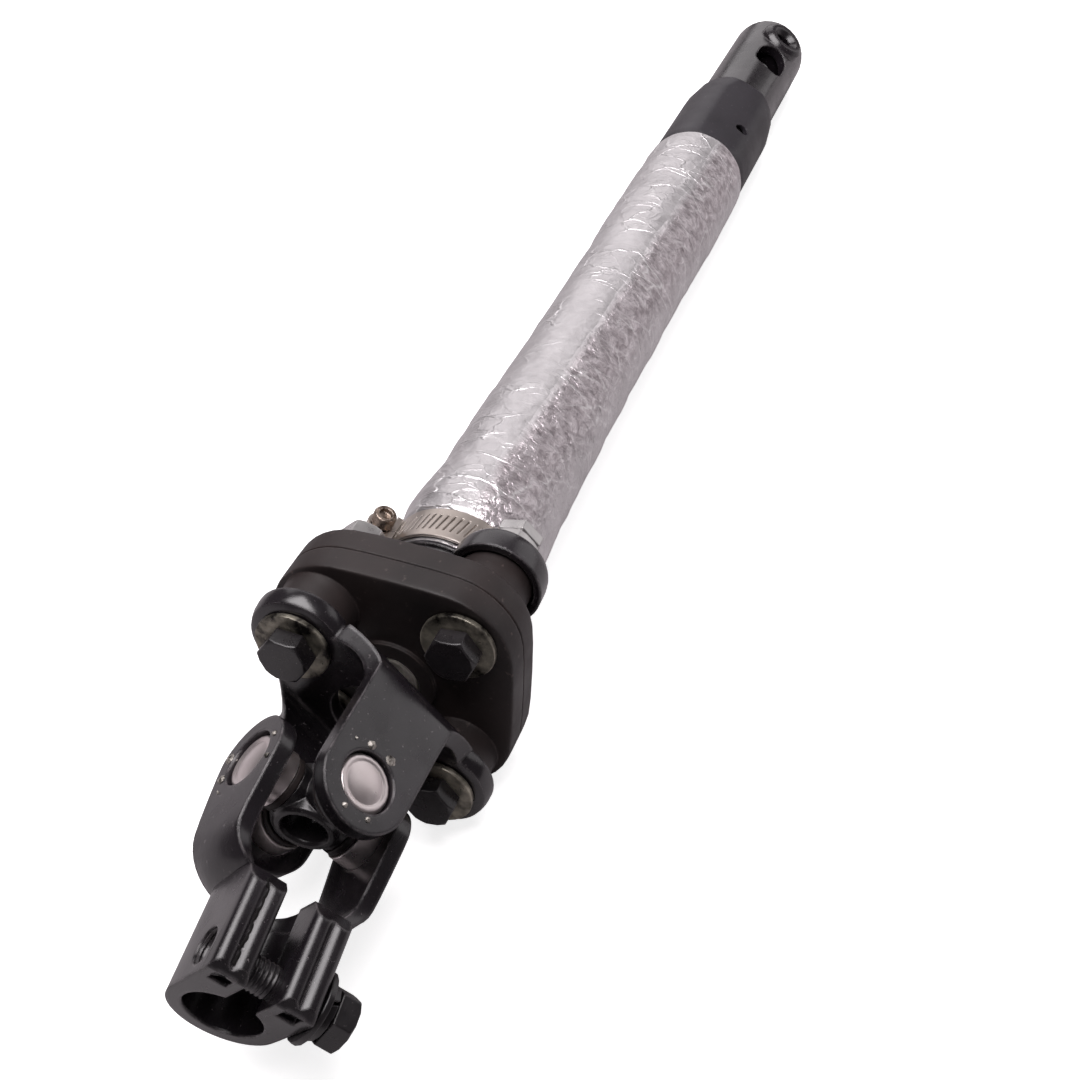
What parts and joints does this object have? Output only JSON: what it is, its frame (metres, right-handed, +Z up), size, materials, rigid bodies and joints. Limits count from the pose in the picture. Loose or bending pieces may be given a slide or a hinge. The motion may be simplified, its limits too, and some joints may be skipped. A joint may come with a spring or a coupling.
{
  "type": "steering_column_shaft",
  "caption": "Steering column shaft with a clamp yoke and universal joint, a bolted rubber coupling, a foil-wrapped tube under a hose clamp and a sliding socket end",
  "frame": {"origin": "bottom centre of the bounding box, lying as it rests", "axes": "+X along the shaft towards the socket end, +Y across, +Z up"},
  "size_m": [0.578, 0.0714, 0.072],
  "materials": {
    "black_paint": "satin black coating on pressed steel, dusty",
    "rubber": "moulded dark brown-black rubber",
    "black_steel": "black phosphated steel with bright worn corners",
    "zinc": "dull yellowish zinc plating with dark spots",
    "bare_steel": "bare turned steel, slightly stained",
    "foil": "crinkled aluminium foil",
    "clamp_steel": "bronze-grey hose clamp steel with light scratches"
  },
  "bodies": {
    "shaft": {"upper_cup_near": "bare_steel", "upper_cup_far": "bare_steel", "upper_yoke": "black_paint", "rubber_coupling": "rubber", "bush_a": "zinc", "bush_b": "zinc", "bush_c": "zinc", "bush_d": "zinc", "bolt_a": "black_steel", "bolt_b": "black_steel", "bolt_c": "black_steel", "bolt_d": "black_steel", "washer_a": "zinc", "washer_b": "zinc", "washer_c": "zinc", "washer_d": "zinc", "nut_washer_a": "zinc", "nut_washer_c": "zinc", "nut_a": "zinc", "nut_b": "zinc", "nut_c": "zinc", "nut_d": "zinc", "upper_flange": "black_paint", "outer_tube": "black_paint", "centre_pin": "zinc", "foil_sleeve": "foil", "hose_band": "clamp_steel", "clamp_housing": "clamp_steel", "clamp_screw": "clamp_steel"},
    "cross": {"cross": "black_steel", "seal_near": "rubber", "seal_far": "rubber", "seal_left": "rubber", "seal_right": "rubber"},
    "lower_yoke": {"lower_clamp_yoke": "black_paint", "pinch_bolt": "black_steel", "pinch_washer": "black_steel", "spring_washer": "black_steel", "lower_cup_left": "bare_steel", "lower_cup_right": "bare_steel"},
    "socket": {"socket_end": "black_paint"}
  },
  "joints": [
    {"name": "cross_swing", "type": "hinge", "parent": "shaft", "child": "cross", "pos_m": [-0.22903, 0, 0.03835], "axis": [0.0291, -0.7071, 0.7065], "range_deg": [-33.5, 16.5]},
    {"name": "yoke_swing", "type": "hinge", "parent": "cross", "child": "lower_yoke", "pos_m": [-0.22903, 0, 0.03835], "axis": [0.1189, -0.6993, -0.7048], "range_deg": [-28, 22]},
    {"name": "socket_slide", "type": "slide", "parent": "shaft", "child": "socket", "axis": [0.9992, 0, -0.0412], "range_m": [-0.02, 0.015]}
  ]
}
